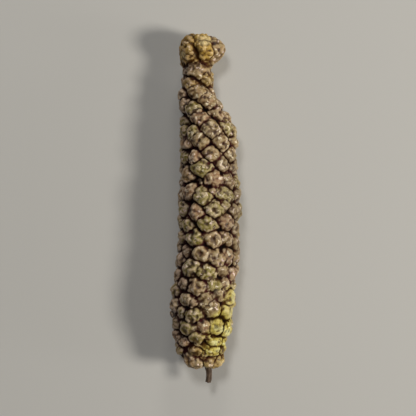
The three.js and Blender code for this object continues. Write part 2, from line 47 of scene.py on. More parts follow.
# ---- the berries: the same places as in the frame -------------------------------------------
# on top: distance along Y mm, angle round the rachis (0 towards +X, 90 up), half length along its
# row mm, half width mm, turn of the row, lift mm, kind (0 rough, 1 with a raised rim, 2 smooth,
# 3 ridged), skin (0 any, 1 olive, 2 rosy, 3 pale, 4 plain, 5 golden, 6 a
# little golden, 7 plum); below: distance along Y, angle, lift
BERRIES_ABOVE = [
    (15.55, 63, 0.8, 0.58, -20, 0.16, 0, 5), (15.24, 134, 0.94, 0.8, 80, 0.2, 3, 5),
    (14.76, 19, 0.77, 0.72, -60, 0.3, 0, 3), (14.27, 71, 0.89, 0.8, -75, 0.1, 3, 5),
    (13.74, 143, 0.7, 0.6, 20, -0.05, 0, 5), (12.58, 109, 0.99, 0.87, -20, 0.06, 0, 3),
    (11.98, 43, 0.94, 0.72, -75, -0.02, 0, 6), (11.59, 166, 0.6, 0.63, -43, 0, 0, 0),
    (11.23, 128, 0.71, 0.7, -43, 0, 0, 6), (10.53, 87, 0.8, 0.72, -43, 0, 0, 3),
    (10.29, 166, 0.62, 0.63, -43, 0, 0, 0), (9.66, 56, 0.84, 0.72, -48, 0.03, 0, 3),
    (9.35, 156, 0.62, 0.65, -43, 0.02, 0, 3), (8.86, 121, 0.67, 0.68, -43, 0, 0, 1),
    (8.31, 46, 0.76, 0.7, -50, 0, 0, 0), (7.95, 105, 0.8, 0.77, -43, 0.03, 0, 2),
    (7, 38, 0.87, 0.72, -58, 0, 0, 0), (6.83, 82, 0.87, 0.77, -46, 0.02, 0, 4),
    (6.79, 166, 0.64, 0.68, -43, 0, 0, 0), (6.76, 14, 0.71, 0.68, -58, 0, 0, 0),
    (6.64, 131, 0.67, 0.7, -43, 0.02, 0, 1), (5.7, 14, 0.67, 0.68, -58, 0, 0, 0),
    (5.6, 109, 0.84, 0.8, -43, 0.03, 0, 3), (5.53, 58, 0.87, 0.77, -50, 0, 0, 3),
    (4.47, 82, 0.8, 0.75, -46, 0, 0, 3), (4.44, 14, 0.62, 0.68, -50, -0.03, 0, 0),
    (4.42, 28, 0.69, 0.72, -50, 0, 0, 0), (4.13, 157, 0.67, 0.7, -43, 0, 0, 0),
    (4.13, 124, 0.69, 0.72, -43, 0, 0, 2), (3.33, 57, 0.76, 0.72, -46, 0, 0, 0),
    (3.12, 103, 0.89, 0.87, -43, 0.06, 3, 1), (3.09, 15, 0.71, 0.72, -46, 0, 0, 0),
    (2.46, 148, 0.75, 0.75, -60, 0, 0, 0), (2.08, 78, 0.87, 0.82, -46, 0.02, 0, 2),
    (1.93, 41, 0.84, 0.8, -46, 0, 0, 3), (1.88, 115, 0.49, 0.43, -43, -0.38, 0, 7),
    (1.79, 14, 0.64, 0.68, -50, 0, 0, 0), (0.97, 139, 0.72, 0.75, -70, 0, 0, 0),
    (0.82, 83, 0.53, 0.52, -43, -0.12, 0, 0), (0.63, 166, 0.68, 0.63, -60, 0, 0, 3),
    (0.6, 57, 0.91, 0.75, -40, 0, 0, 1), (0.53, 14, 0.64, 0.68, -50, 0, 0, 0),
    (0.43, 104, 0.84, 0.82, -43, 0.02, 0, 1), (-0.46, 59, 0.6, 0.59, -43, -0.04, 0, 0),
    (-0.87, 81, 0.8, 0.84, -43, 0.02, 1, 1), (-0.94, 32, 0.69, 0.68, -50, 0.02, 0, 0),
    (-1.01, 117, 0.87, 0.84, -43, 0.06, 3, 2), (-2.08, 56, 0.84, 0.75, -45, 0, 0, 2),
    (-2.25, 95, 0.78, 0.75, -45, 0.05, 0, 1), (-2.27, 142, 0.75, 0.72, -60, -0.02, 0, 1),
    (-2.56, 21, 0.69, 0.68, -50, 0, 0, 0), (-3.45, 166, 0.62, 0.64, -50, 0, 0, 0),
    (-3.57, 51, 0.77, 0.65, -30, -0.03, 0, 0), (-3.62, 81, 0.89, 0.82, -43, 0, 1, 3),
    (-3.67, 119, 0.87, 0.79, -50, 0.04, 3, 1), (-3.98, 14, 0.67, 0.64, -50, 0, 0, 0),
    (-4.88, 145, 0.63, 0.58, -30, -0.22, 0, 0), (-5.14, 103, 0.92, 0.82, -30, 0.02, 1, 3),
    (-5.29, 42, 0.8, 0.8, -50, 0, 0, 2), (-5.41, 14, 0.68, 0.72, -50, 0, 0, 0),
    (-5.43, 73, 0.89, 0.82, -40, 0.02, 1, 3), (-5.77, 166, 0.7, 0.72, -60, 0.06, 0, 3),
    (-6.28, 124, 0.82, 0.85, 70, 0.04, 1, 1), (-6.59, 88, 0.94, 0.82, -25, 0.02, 3, 1),
    (-6.76, 58, 0.77, 0.7, -40, -0.04, 1, 0), (-6.81, 23, 0.72, 0.8, -70, 0, 0, 2),
    (-7.2, 166, 0.6, 0.6, 0, 0.08, 0, 0), (-7.78, 136, 0.7, 0.65, -40, -0.02, 0, 0),
    (-7.95, 74, 0.85, 0.77, -50, 0, 2, 1), (-7.97, 48, 0.72, 0.65, -60, -0.03, 0, 0),
    (-8.11, 14, 0.65, 0.68, -60, 0, 0, 0), (-8.21, 106, 1.04, 0.94, -15, 0.09, 3, 3),
    (-8.5, 164, 0.63, 0.63, -60, 0.16, 0, 0), (-9.03, 64, 0.72, 0.68, -30, -0.09, 0, 0),
    (-9.15, 84, 0.8, 0.7, -70, -0.04, 2, 4), (-9.23, 34, 0.89, 0.92, -60, 0.04, 1, 0),
    (-9.54, 127, 0.68, 0.63, -30, -0.02, 1, 0), (-9.64, 109, 0.51, 0.48, 0, -0.1, 0, 0),
    (-9.9, 161, 0.68, 0.68, -60, 0.19, 0, 3), (-9.97, 94, 0.53, 0.51, -30, -0.12, 2, 0),
    (-10.53, 66, 0.97, 0.89, -55, 0.03, 2, 4), (-10.67, 137, 0.7, 0.6, -10, 0, 0, 0),
    (-10.67, 26, 0.82, 0.82, -60, 0.02, 1, 0), (-10.87, 102, 0.94, 0.77, 15, 0.05, 3, 1),
    (-11.74, 166, 0.6, 0.6, -60, 0.1, 0, 0), (-11.95, 88, 0.77, 0.7, -40, -0.02, 2, 2),
    (-12.17, 121, 0.82, 0.72, -20, 0.06, 1, 1), (-12.2, 60, 0.87, 0.77, -20, 0.05, 1, 0),
    (-12.39, 25, 0.75, 0.82, -70, 0.03, 0, 0), (-13.02, 166, 0.68, 0.63, -60, 0.15, 0, 2),
    (-13.07, 81, 0.46, 0.43, 0, -0.14, 0, 0), (-13.14, 102, 0.72, 0.65, -30, 0.02, 1, 1),
    (-13.43, 134, 0.63, 0.6, -40, -0.03, 0, 2), (-13.45, 58, 0.75, 0.58, -10, 0.02, 0, 0),
    (-13.52, 16, 0.56, 0.56, -50, -0.1, 0, 0), (-14.3, 105, 0.87, 0.65, -10, 0.02, 3, 6),
    (-14.39, 48, 0.87, 0.72, -15, 0.03, 3, 0), (-14.44, 80, 0.56, 0.56, 0, -0.08, 0, 0),
    (-14.44, 166, 0.65, 0.63, -60, 0.16, 0, 0), (-14.49, 14, 0.53, 0.58, -60, -0.05, 0, 0),
    (-14.95, 158, 0.58, 0.56, -50, 0.07, 0, 0), (-15.31, 86, 0.56, 0.51, -40, 0.02, 0, 0),
    (-15.6, 123, 0.89, 0.65, -25, 0.44, 3, 3), (-15.67, 20, 0.8, 0.7, 10, 0.26, 0, 6),
    (-15.77, 71, 0.48, 0.48, 0, 0.22, 0, 0),
]
BERRIES_BELOW = [
    (15.89, 239, 0), (14.74, 279, 0), (14.73, 196, -0.12), (14.19, 329, -0.12), (13.77, 239, 0),
    (13.27, 188, -0.12), (13.27, 14, -0.12), (13.06, 295, 0), (12.17, 236, 0), (11.53, 315, -0.24),
    (10.69, 250, 0), (10.48, 3, -0.24), (9.99, 301, -0.24), (9.51, 205, 0), (9.12, 337, 0),
    (9.06, 247, 0), (8.41, 282, 0), (8.02, 359, 0), (7.98, 191, 0), (7.62, 312, 0), (7.48, 234, 0),
    (6.83, 269, 0), (6.72, 338, 0), (6.39, 200, 0), (6.04, 302, 0), (5.89, 235, 0), (5.46, 152, 0),
    (5.24, 338, 0), (5.18, 269, 0), (4.81, 194, 0), (4.44, 304, 0), (4.28, 234, 0), (3.73, 340, 0),
    (3.56, 270, 0), (3.27, 183, 0), (2.85, 306, 0), (2.79, 217, 0), (2.22, 341, 0), (2.21, 248, 0),
    (1.74, 185, 0), (1.67, 280, 0), (1.21, 312, 0), (1.14, 219, 0), (0.67, 344, 0), (0.62, 253, 0),
    (0.11, 287, 0), (-0.01, 194, 0), (-0.38, 320, 0), (-0.43, 228, 0), (-0.76, 156, 0),
    (-0.86, 357, 0), (-0.95, 261, 0), (-1.45, 296, 0), (-1.49, 205, 0), (-1.87, 331, 0),
    (-2.06, 236, 0), (-2.06, 175, 0), (-2.48, 270, 0), (-3, 306, 0), (-3.11, 204, 0),
    (-3.29, 343, 0), (-3.65, 240, 0), (-3.95, 276, 0), (-4.54, 188, 0), (-4.57, 310, 0),
    (-4.87, 344, 0), (-5.01, 223, 0), (-5.43, 282, 0), (-6.05, 252, 0), (-6.05, 197, 0),
    (-6.21, 315, 0), (-6.46, 349, 0), (-6.92, 225, 0), (-6.95, 286, 0), (-7.64, 195, 0),
    (-7.68, 255, 0), (-7.97, 342, 0), (-8.45, 287, 0), (-8.53, 225, 0), (-9.02, 319, 0),
    (-9.16, 193, 0), (-9.25, 257, 0), (-9.69, 355, 0), (-9.94, 290, 0), (-10.14, 223, 0),
    (-10.54, 324, 0), (-10.69, 189, 0), (-10.78, 261, 0), (-11.36, 355, 0), (-11.43, 294, 0),
    (-11.71, 232, 0), (-12.15, 324, 0), (-12.16, 197, 0), (-12.35, 267, 0), (-13.31, 239, 0),
    (-13.34, 298, 0), (-13.44, 342, 0), (-13.61, 199, 0), (-14.49, 268, 0), (-14.74, 320, 0),
    (-14.93, 214, 0), (-16, 263, 0),
]
HALF_WIDTH = [
    (16.13, 0), (16.06, 0.63), (15.89, 1.11), (15.63, 1.45), (15.21, 1.9), (14.73, 2.15),
    (14.25, 2.06), (13.77, 1.86), (13.3, 1.6), (12.56, 1.5), (11.35, 1.71), (10.14, 1.97), (9.42, 2.11), (8.45, 2.29),
    (7.0, 2.68), (6.04, 2.84), (4.59, 2.74), (3.14, 2.79), (1.93, 2.84), (0.48, 3.04), (-1.21, 3.09),
    (-3.38, 2.98), (-5.8, 3.04), (-7, 3.04), (-8.94, 3.15), (-9.9, 3.14), (-11.59, 2.96),
    (-12.32, 2.84), (-13.77, 2.48), (-14.49, 2.27), (-15.34, 1.7), (-15.84, 1.38), (-16.11, 0.89),
    (-16.23, 0),
]
MIDDLE_LINE = [
    (17.5, -1.05, -0.62), (16.18, -0.87, -0.58), (15.7, -0.74, -0.56), (15.21, -0.52, -0.54),
    (14.73, -0.42, -0.52), (14.25, -0.48, -0.5), (13.77, -0.58, -0.48), (13.28, -0.64, -0.46), (12.32, -0.66, -0.42),
    (11.35, -0.79, -0.38), (10.38, -0.77, -0.35), (9.42, -0.53, -0.32), (8.45, -0.19, -0.29),
    (7.25, 0.17, -0.25), (6.04, 0.33, -0.22), (4.59, 0.25, -0.18), (3.14, 0.27, -0.14),
    (1.69, 0.39, -0.1), (0.24, 0.42, -0.06), (-1.69, 0.37, -0.03), (-3.62, 0.31, -0.01),
    (-5.55, 0.16, 0), (-7.49, -0.06, 0), (-9.42, -0.23, 0), (-11.35, -0.34, 0.01),
    (-13.28, -0.45, 0.03), (-14.49, -0.4, 0.05), (-15.21, -0.27, 0.06), (-17.5, -0.15, 0.1),
]
TIP_Y, BASE_Y = 14.37, -13.52
TIP_HEIGHT, BASE_HEIGHT = 1.76, 2.71
BASE_AXIS = np.array([0.23, -0.97, 0.02])
# pits where berries part, darkened with painted shade: X, Y, radius and depth mm, on the upper side
PITS = [(-1.02, 14.42, 0.30, 0.26), (-0.86, 13.98, 0.34, 0.34), (0.85, 15.05, 0.20, 0.16), (-0.80, 1.98, 0.44, 0.10), (-1.55, -0.95, 0.30, 0.16),
        (-1.25, -3.0, 0.26, 0.18), (-1.75, 4.75, 0.28, 0.16), (-0.35, 11.10, 0.26, 0.12), (-1.3, -6.9, 0.28, 0.16),
        (0.9, -8.6, 0.24, 0.12), (-0.35, -11.4, 0.26, 0.14), (-1.8, -10.1, 0.30, 0.16)]
GROOVE_DEPTH = 0.95
RESTS_AT_Z = -2.81
ROW_SLANT = -43.0        # the rows of berries run down to the right, degrees
STALK_LINE = [(0.31, -16.35, 0.06), (0.33, -16.75, 0.07), (0.30, -17.15, 0.04), (0.235, -17.46, -0.01)]

AROUND = 224
TIP_ROWS, BODY_ROWS, BASE_ROWS = 34, 348, 44


# ---- number helpers --------------------------------------------------------------------------

def table(rows, y, column):
    ys = np.array([r[0] for r in rows])[::-1]
    vs = np.array([r[column] for r in rows], float)[::-1]
    return np.interp(y, ys, vs)


def half_width(y):
    return table(HALF_WIDTH, y, 1)


def middle(y):
    return np.array([table(MIDDLE_LINE, y, 1), y, table(MIDDLE_LINE, y, 2)], float)


def chance(i, k):
    v = math.sin(i * 12.9898 + k * 78.233) * 43758.5453
    return v - math.floor(v)


def unit(v):
    return v / np.linalg.norm(v)


def smooth(lo, hi, x):
    f = np.clip((x - lo) / (hi - lo), 0, 1)
    return f * f * (3 - 2 * f)


def lattice(ix, iy, iz, seed):
    h = (ix * 374761393 + iy * 668265263 + iz * 2147483647 + seed * 974634777) & 0xFFFFFFFF
    h = ((h ^ (h >> 13)) * 1274126177) & 0xFFFFFFFF
    return (h ^ (h >> 16)) & 0xFFFFFFFF


def noise(p, seed=0):
    """Smooth repeatable noise from -1 to 1 at points p (n, 3), about one bump a unit."""
    i = np.floor(p).astype(np.int64)
    f = p - i
    u = f * f * f * (f * (f * 6 - 15) + 10)
    total = np.zeros(len(p))
    for dx in (0, 1):
        for dy in (0, 1):
            for dz in (0, 1):
                h = lattice(i[:, 0] + dx, i[:, 1] + dy, i[:, 2] + dz, seed)
                gx = (h & 1023) / 511.5 - 1
                gy = ((h >> 10) & 1023) / 511.5 - 1
                gz = ((h >> 20) & 1023) / 511.5 - 1
                g = gx * (f[:, 0] - dx) + gy * (f[:, 1] - dy) + gz * (f[:, 2] - dz)
                w = (u[:, 0] if dx else 1 - u[:, 0]) * (u[:, 1] if dy else 1 - u[:, 1]) * (u[:, 2] if dz else 1 - u[:, 2])
                total += w * g
    return total * 1.5


def ridged(p, seed=0):
    """Thin raised lines, 1 on the line, falling away on both sides."""
    return 1 - np.minimum(np.abs(noise(p, seed)) * 2.6, 1)


# ---- the berries' shapes ---------------------------------------------------------------------

TIP_CENTRE, BASE_CENTRE = middle(TIP_Y), middle(BASE_Y)
TIP_AXIS, BASE_AXIS = np.array([0.0, 1.0, 0.0]), unit(BASE_AXIS)


def knobby(y):
    """0 where the berries are flat lozenges in slanting rows, 1 where they are separate knobs."""
    return max(float(1 - smooth(-8.0, -3.0, y)), 0.8 * float(smooth(10.5, 12.5, y)))


def make_berries():
    out = []
    for i, row in enumerate(BERRIES_ABOVE + BERRIES_BELOW):
        y, degrees = row[:2]
        knob = knobby(y)
        if len(row) > 3:
            long, across, turn, lift, kind, skin = row[2:]
        else:
            size = 0.76 + 0.10 * (chance(i, 8) - 0.5)
            stretch = 1.08 - 0.04 * knob
            long, across, lift = size * stretch, size / stretch, row[2] + 0.08 * (chance(i, 9) - 0.5)
            turn = ROW_SLANT + (chance(i, 4) - 0.5) * (16 + 150 * knob)
            kind, skin = (0, 0, 1, 3, 2)[int(chance(i, 10) * 5)], 0
        angle = math.radians(degrees)
        outward = np.array([math.cos(angle), 0, math.sin(angle)])
        crown = middle(y) + outward * half_width(y)
        if y > TIP_Y:
            n = crown - TIP_CENTRE
        elif y < BASE_Y:
            n = crown - BASE_CENTRE
        else:
            slope = (half_width(y + 0.8) - half_width(y - 0.8)) / 1.6
            n = outward - np.array([0, 1, 0]) * min(max(slope, -0.5), 0.5)
        n = unit(n)
        lean = 0.20 + 0.30 * knob
        n = n + np.array([0, 1, 0]) * (chance(i, 1) - 0.5) * lean
        n = n + np.array([-math.sin(angle), 0, math.cos(angle)]) * (chance(i, 2) - 0.5) * lean
        n = unit(n)
        ring = np.cross([0, 1, 0], n)
        if np.linalg.norm(ring) < 0.2:
            ring = np.array([1.0, 0, 0]) - n * n[0]
        ring = unit(ring)
        up = np.cross(n, ring)
        turn = math.radians(turn + (chance(i, 3) - 0.5) * 8)
        t = ring * math.cos(turn) + up * math.sin(turn)
        a = np.cross(n, t)
        # in the rows the berries run into each other; across them there is a groove
        wide = long * (1.12 * (1 - knob) + 1.17 * knob)
        deep = across * (1.06 * (1 - knob) + 1.17 * knob)
        height = (0.52 * (1 - knob) + 0.62 * knob) * (0.4 + 0.6 * min(long, across) / 0.78) * (0.88 + 0.24 * chance(i, 5))
        raised = lift + (chance(i, 6) - 0.5) * 0.10
        square = (3.3 * (1 - knob) + 2.4 * knob) + 0.5 * (chance(i, 7) - 0.5)
        out.append((crown + n * (raised - height), n, t, a, height, wide, deep, square, 3.0 - 0.5 * knob, knob, kind, skin))
    keys = ("foot", "n", "t", "a", "height", "wide", "long", "square", "power", "knob", "kind", "skin")
    return {k: np.array(c, float) for k, c in zip(keys, zip(*out))}


BERRY = make_berries()
COUNT = len(BERRY["height"])
RAND = np.array([[chance(i, 11 + k) for k in range(8)] for i in range(COUNT)])
TONE, TINT, PALE = RAND[:, 3].copy(), RAND[:, 4] * 0.8, RAND[:, 6] * 0.8
for skin, tone, tint, pale in ((1, 0.55, 0.95, 0.1), (2, 0.6, 0.1, 1.0), (3, 1.0, 0.35, 0.6), (4, 0.5, 0.2, 0.2)):
    chosen = BERRY["skin"] == skin
    TONE[chosen], TINT[chosen], PALE[chosen] = tone, tint, pale
GOLDEN = (BERRY["skin"] == 5) * 0.95 + (BERRY["skin"] == 6) * 0.5


def ring(origin, tilt, axis, reach):
    """One ring of the outer surface: distances along AROUND rays, and what berry each is on."""
    angle = np.arange(AROUND) / AROUND * 2 * np.pi
    d = np.stack([np.cos(angle), 0 * angle, np.sin(angle)], 1) * math.cos(tilt) + axis * math.sin(tilt)
    d /= np.linalg.norm(d, axis=1)[:, None]
    near, far = max(reach - 1.3, 0.35), reach + 0.6
    close = np.nonzero(np.linalg.norm(BERRY["foot"] - origin, axis=1) < reach + 2.2)[0]
    b = {k: v[close] for k, v in BERRY.items()}
    # nothing that grew is quite regular: each place is pulled a little out of true
    at = origin + d * (reach - 0.3)
    pull = np.stack([0.11 * noise(at * 0.75, 41 + c) + 0.075 * noise(at * 2.3, 51 + c) for c in range(3)], 1)
    q = origin - b["foot"]
    qn = (q * b["n"]).sum(1)[None]
    qt = (q * b["t"]).sum(1)[None] + pull @ b["t"].T
    qa = (q * b["a"]).sum(1)[None] + pull @ b["a"].T
    dn, dt, da = (d @ b[k].T for k in ("n", "t", "a"))
    m, pm = b["square"][None], (b["power"] / b["square"])[None]
    iw, il, hh = 1 / b["wide"][None], 1 / b["long"][None], b["height"][None]

    def above(r):
        return qn + r * dn - hh * (1 - (np.abs((qt + r * dt) * iw) ** m + np.abs((qa + r * da) * il) ** m) ** pm)

    lo = np.full(dn.shape, near)
    hi = np.full(dn.shape, far)
    out = (above(lo) > 0) | (dn < 0.25)
    for _ in range(17):
        mid = (lo + hi) / 2
        up = above(mid) > 0
        hi = np.where(up, mid, hi)
        lo = np.where(up, lo, mid)
    r = np.where(out, near, (lo + hi) / 2)
    order = np.argsort(r, axis=1)
    one, two, three = order[:, -1], order[:, -2], order[:, -3]
    pick = np.arange(AROUND)
    top, gap, gap3 = r[pick, one], r[pick, one] - r[pick, two], r[pick, one] - r[pick, three]
    # how open the groove to the next berry is: wide between rows, closed up within one
    step = b["foot"][two] - b["foot"][one]
    in_row = (step * b["t"][one]).sum(1) ** 2
    between = (step * b["a"][one]).sum(1) ** 2
    row = smooth(0.25, 0.75, between / (in_row + between + 1e-9))
    patch = smooth(-0.25, 0.35, noise(at * 0.85, 61))
    knob = b["knob"][one]
    openness = (0.34 + 0.66 * row) * (1 - knob) + (0.40 + 0.60 * patch) * knob
    openness = np.maximum(openness, 0.75 * smooth(11.0, 13.0, at[:, 1]) + 0.75 * smooth(-12.5, -14.5, at[:, 1]))
    openness *= 1 - 0.65 * np.exp(-((at[:, 1] - 13.25) / 0.5) ** 2)
    openness *= 0.50 + 0.50 * smooth(-0.30, 0.25, noise(at * 0.75, 63))
    openness *= 1 - 0.42 * smooth(-0.3, 1.6, at[:, 0]) * smooth(-0.5, 0.5, at[:, 2])
    closed = (b["kind"][one] == 2) | (b["kind"][two] == 2)
    openness = np.where(closed, 0.35 * openness, openness)
    bright = np.exp(-((at[:, 0] - 1.5) / 1.3) ** 2 - ((at[:, 1] + 12.4) / 2.6) ** 2) * (at[:, 2] > 0)
    openness = np.maximum(openness, bright)
    sharp = 14 + 22 * openness
    floor = reach - GROOVE_DEPTH * (0.62 + 0.38 * openness)
    every = np.concatenate([r, floor[:, None]], 1)
    high = every.max(1)
    env = high + np.log(np.exp(sharp[:, None] * (every - high[:, None])).sum(1)) / sharp
    groove = openness * np.exp(-gap / 0.13)
    hole = np.exp(-gap3 / 0.13) * smooth(0.0, 0.5, noise(at * 1.3, 62))
    env = env - 0.15 * groove - 0.15 * hole
    return d, env, close[one], gap, top, groove, hole


def surface():
    rows = []
    quarter = math.pi / 2
    for i in range(1, TIP_ROWS):
        tilt = quarter * (1 - i / TIP_ROWS)
        reach = 1 / math.hypot(math.cos(tilt) / half_width(TIP_Y), math.sin(tilt) / TIP_HEIGHT)
        rows.append((TIP_CENTRE, tilt, TIP_AXIS, reach))
    for i in range(BODY_ROWS + 1):
        y = TIP_Y + (BASE_Y - TIP_Y) * i / BODY_ROWS
        rows.append((middle(y), 0.0, TIP_AXIS, float(half_width(y))))
    for i in range(1, BASE_ROWS):
        tilt = quarter * i / BASE_ROWS
        reach = 1 / math.hypot(math.cos(tilt) / half_width(BASE_Y), math.sin(tilt) / BASE_HEIGHT)
        rows.append((BASE_CENTRE, tilt, BASE_AXIS, reach))
    made = [ring(*r) for r in rows]
    origin = np.array([np.broadcast_to(r[0], (AROUND, 3)) for r in rows])
    d, env, win, gap, _, groove, hole = (np.array([m[k] for m in made]) for k in range(7))
    reach = np.array([r[3] for r in rows])[:, None]
    tilt = np.array([r[1] if r[2] is BASE_AXIS else 0.0 for r in rows])[:, None]
    return origin, d, env, win, gap, groove, hole, reach, tilt


def blur(g, sigma):
    """Soft average of a ring grid: round the spike it closes on itself."""
    n = int(sigma * 3)
    w = np.exp(-0.5 * (np.arange(-n, n + 1) / sigma) ** 2)
    w /= w.sum()
    wide = np.concatenate([g[:, -n:], g, g[:, :n]], 1)
    g = sum(w[k] * wide[:, k:k + g.shape[1]] for k in range(2 * n + 1))
    tall = np.concatenate([np.repeat(g[:1], n, 0), g, np.repeat(g[-1:], n, 0)], 0)
    return sum(w[k] * tall[k:k + g.shape[0]] for k in range(2 * n + 1))


def local(p, k):
    q = p - BERRY["foot"][k]
    lt, la = (q * BERRY["t"][k]).sum(-1), (q * BERRY["a"][k]).sum(-1)
    rho = np.sqrt((lt / BERRY["wide"][k]) ** 2 + (la / BERRY["long"][k]) ** 2)
    return lt, la, rho


def make_spike_arrays():
    origin, d, env, win, gap, groove, hole, reach, tilt = surface()
    # the rachis shows as a shallow seat round the stalk
    into = smooth(math.radians(71), math.radians(84), tilt) * np.ones_like(env)
    env = env * (1 - into) + np.minimum(env, 1.92) * into
    p = origin + d * env[..., None]
    flat = p.reshape(-1, 3)
    k = win.reshape(-1)
    r = RAND[k]
    lt, la, rho = local(flat, k)
    knob, kind = BERRY["knob"][k], BERRY["kind"][k]
    rimmed, plain, ridgy = (kind == 1) * 1.0, (kind == 2) * 1.0, (kind == 3) * 1.0
    own = flat + r[:, :3] * 40.0                 # every berry has its own wrinkles
    crown = 1 - smooth(0.72, 1.02, rho)
    rough = (1 - 0.35 * plain)
    # uneven lumps, then the warts and creases of dried skin, then a coarse grain
    disp = 0.060 * noise(own * 1.1, 1)
    warp = own + 0.10 * np.stack([noise(own * 2.2, 71 + c) for c in range(3)], 1)
    bump1, bump2 = noise(warp * 2.1, 2), noise(warp * 3.9, 3)
    disp += (0.155 * bump1 + 0.042 * bump2) * rough
    wart = np.minimum(np.abs(noise(warp * 1.7, 10)) * 2.0, 1)
    disp += 0.045 * (wart - 0.5) * rough
    flake = smooth(0.36, 0.52, noise(own * 2.1, 11)) * (rho < 0.95)
    disp += 0.035 * flake + 0.014 * noise(own * 8.0, 4)
    # ridges that run one way over some berries
    way = math.radians(35) + (r[:, 5] - 0.5) * 1.6
    fu, fv = lt * np.cos(way) + la * np.sin(way), la * np.cos(way) - lt * np.sin(way)
    bend = 0.20 * noise(own * 1.6, 5)
    fold = ridged(np.stack([fu * 0.8 + 9 * r[:, 1], (fv + bend) * 2.0, 31 * r[:, 2]], 1), 6)
    disp += 0.11 * (fold - 0.45) * crown * np.maximum(ridgy, 0.35 * (1 - plain) * (r[:, 4] > 0.5))
    # flanks pleated where the berries press on each other
    az = np.arctan2(la, lt)
    pleat = np.cos(az * np.round(6 + 5 * r[:, 4]) + 6.28 * r[:, 5] + 1.5 * noise(own * 1.4, 7))
    disp += 0.028 * pleat * smooth(0.35, 0.85, rho) * (1 - smooth(0.95, 1.15, rho))
    # a raised rim round a sunken crown, higher on one side
    ox, oy = (r[:, 5] - 0.5) * 0.34, (r[:, 6] - 0.5) * 0.34
    delta = np.hypot(lt - ox, la - oy) * (1 + 0.16 * noise(own * 2.4, 8))
    size = 0.30 + 0.08 * r[:, 7]
    side = 0.55 + 0.45 * np.cos(az - 6.28 * r[:, 0])
    cup = np.maximum(rimmed, 0.55 * (kind == 0) * (r[:, 1] < 0.15 + 0.35 * knob))
    dish = np.exp(-(delta / size) ** 2) * cup
    lip = np.exp(-((delta - size * 1.75) / 0.13) ** 2) * cup * side
    disp += -0.12 * dish + 0.10 * lip
    # the dried stigma: a dark pinhole on a few crowns
    has_scar = ((r[:, 0] < 0.30) & (kind != 1)).astype(float)
    pit = np.exp(-(delta / 0.10) ** 2) * has_scar
    disp += -0.09 * pit
    gone = np.zeros(len(flat))
    for x, y, size, depth in PITS:
        far = np.hypot(flat[:, 0] - x, flat[:, 1] - y) * (1 + 0.35 * noise(flat * 1.8, 9))
        gone = np.maximum(gone, np.exp(-(far / size) ** 4) * (flat[:, 2] > 0))
        disp -= depth * np.exp(-(far / size) ** 2) * (flat[:, 2] > 0)
    env2 = env + disp.reshape(env.shape) * (1 - 0.7 * into)
    p = origin + d * env2[..., None]
    relief = np.clip((env2 - (reach - GROOVE_DEPTH)) / GROOVE_DEPTH, 0, 1.15)
    cavity = (blur(env2, 4.5) - env2)
    fine = (blur(env2, 1.3) - env2)
    dmap = disp.reshape(env.shape)
    meso = blur(dmap, 4.0) - dmap
    shape = env.shape
    attrs = dict(
        relief=relief, cavity=cavity, fine=fine, meso=meso, valley=groove, hole=hole,
        pit=np.maximum(pit, gone).reshape(shape), lip=lip.reshape(shape), dish=dish.reshape(shape),
        flake=flake.reshape(shape), seat=into, knob=BERRY["knob"][win],
        tone=TONE[win], tint=TINT[win], pale=PALE[win], who=RAND[win][..., 7],
    )
    return p, attrs, win


def add_mesh(name, grid, first, last, attrs):
    """A closed skin over rings of points (rings, around, 3), in mm, with a point at each end."""
    rows, n = grid.shape[:2]
    co = np.concatenate([grid.reshape(-1, 3), [first], [last]])
    i, j = np.meshgrid(np.arange(rows - 1), np.arange(n), indexing="ij")
    k = (j + 1) % n
    quads = np.stack([i * n + j, (i + 1) * n + j, (i + 1) * n + k, i * n + k], -1).reshape(-1, 4)
    top, bottom, base = rows * n, rows * n + 1, (rows - 1) * n
    jj = np.arange(n)
    kk = (jj + 1) % n
    cap1 = np.stack([np.full(n, top), jj, kk], -1)
    cap2 = np.stack([np.full(n, bottom), base + kk, base + jj], -1)
    # arc length down the side gives the map's second axis
    step = np.linalg.norm(np.diff(grid, axis=0), axis=2).mean(1)
    s = np.concatenate([[0], np.cumsum(step)]) + 0.12
    s = s / (s[-1] + 0.12)
    uv_q = np.stack([
        np.stack([j / n, 1 - s[i]], -1), np.stack([j / n, 1 - s[i + 1]], -1),
        np.stack([(j + 1) / n, 1 - s[i + 1]], -1), np.stack([(j + 1) / n, 1 - s[i]], -1)], -2).reshape(-1, 2)
    uv1 = np.stack([np.stack([(jj + 0.5) / n, np.ones(n)], -1), np.stack([jj / n, np.full(n, 1 - s[0])], -1),
                    np.stack([(jj + 1) / n, np.full(n, 1 - s[0])], -1)], 1).reshape(-1, 2)
    uv2 = np.stack([np.stack([(jj + 0.5) / n, np.zeros(n)], -1), np.stack([(jj + 1) / n, np.full(n, 1 - s[-1])], -1),
                    np.stack([jj / n, np.full(n, 1 - s[-1])], -1)], 1).reshape(-1, 2)
    me = bpy.data.meshes.new(name)
    me.from_pydata(((co + SHIFT) * MM).tolist(), [], quads.tolist() + cap1.tolist() + cap2.tolist())
    layer = me.uv_layers.new(name="OFBake")
    layer.data.foreach_set("uv", np.concatenate([uv_q, uv1, uv2]).astype(np.float32).ravel())
    for key, v in attrs.items():
        a = me.attributes.new(key, "FLOAT", "POINT")
        full = np.concatenate([v.reshape(-1), [v[0].mean()], [v[-1].mean()]])
        a.data.foreach_set("value", full.astype(np.float32))
    me.polygons.foreach_set("use_smooth", np.ones(len(me.polygons), bool))
    me.update()
    bm = bmesh.new()
    bm.from_mesh(me)
    if bm.calc_volume(signed=True) < 0:
        bmesh.ops.reverse_faces(bm, faces=bm.faces)
        bm.to_mesh(me)
    bm.free()
    ob = bpy.data.objects.new(name, me)
    bpy.context.scene.collection.objects.link(ob)
    return ob


# ---- materials -------------------------------------------------------------------------------

def lin(r, g, b):
    def f(c):
        c /= 255
        return c / 12.92 if c <= 0.04045 else ((c + 0.055) / 1.055) ** 2.4
    return (f(r), f(g), f(b), 1)


